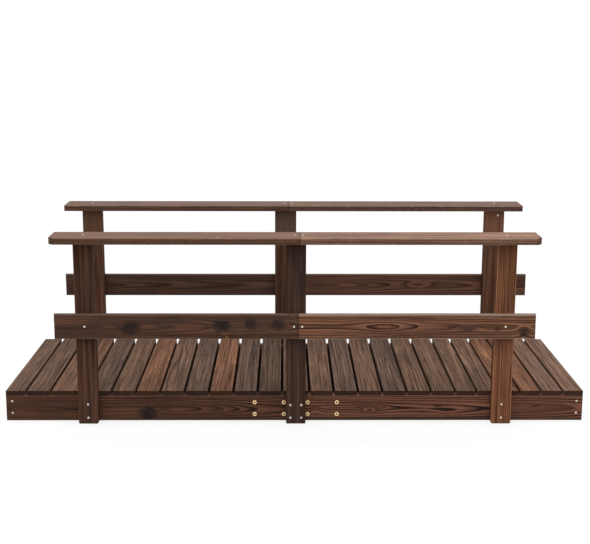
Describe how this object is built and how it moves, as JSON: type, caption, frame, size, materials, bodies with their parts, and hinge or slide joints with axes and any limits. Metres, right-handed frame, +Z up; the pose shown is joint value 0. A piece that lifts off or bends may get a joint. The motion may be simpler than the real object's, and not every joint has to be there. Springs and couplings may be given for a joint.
{
  "type": "wooden footbridge",
  "caption": "Flat wooden garden footbridge with a slatted deck between two beams, handrails and middle rails on posts, spliced at mid-length.",
  "frame": {"origin": "on the ground at the middle of the bridge's length and width", "axes": "+X along the bridge, +Y across it towards the rear railing, +Z up"},
  "size_m": [2.3, 0.976, 0.756],
  "materials": {
    "deck_timber": "dark stained and brushed softwood, matt",
    "beam_timber": "dark brown stained softwood with visible knots, satin",
    "post_timber": "dark brown stained softwood, eased edges worn lighter, satin",
    "handrail_timber": "brown stained softwood, satin",
    "midrail_timber": "reddish brown stained softwood with knots, satin",
    "inner_timber": "dark stained softwood, matt",
    "screw_zinc": "zinc plated countersunk screws, satin",
    "bolt_brass": "brass plated connector bolts, satin"
  },
  "bodies": {
    "root": {"deck_board_01": "deck_timber", "deck_board_02": "deck_timber", "deck_board_03": "deck_timber", "deck_board_04": "deck_timber", "deck_board_05": "deck_timber", "deck_board_06": "deck_timber", "deck_board_07": "deck_timber", "deck_board_08": "deck_timber", "deck_board_09": "deck_timber", "deck_board_10": "deck_timber", "deck_board_11": "deck_timber", "deck_board_12": "deck_timber", "deck_board_13": "deck_timber", "deck_board_14": "deck_timber", "deck_board_15": "deck_timber", "deck_board_16": "deck_timber", "deck_board_17": "deck_timber", "deck_board_18": "deck_timber", "deck_board_19": "deck_timber", "deck_board_20": "deck_timber", "deck_board_21": "deck_timber", "deck_board_22": "deck_timber", "deck_board_23": "deck_timber", "deck_board_24": "deck_timber", "front_beam_left": "beam_timber", "front_beam_right": "beam_timber", "front_handrail_left": "handrail_timber", "front_handrail_right": "handrail_timber", "front_midrail_left": "midrail_timber", "front_midrail_right": "midrail_timber", "front_post_left": "post_timber", "front_post_middle": "post_timber", "front_post_right": "post_timber", "front_splice_board": "inner_timber", "left_end_bearer": "inner_timber", "rear_beam_left": "beam_timber", "rear_beam_right": "beam_timber", "rear_handrail_left": "handrail_timber", "rear_handrail_right": "handrail_timber", "rear_midrail_left": "midrail_timber", "rear_midrail_right": "midrail_timber", "rear_post_left": "post_timber", "rear_post_middle": "post_timber", "rear_post_right": "post_timber", "rear_splice_board": "inner_timber", "right_end_bearer": "inner_timber"}
  },
  "joints": []
}
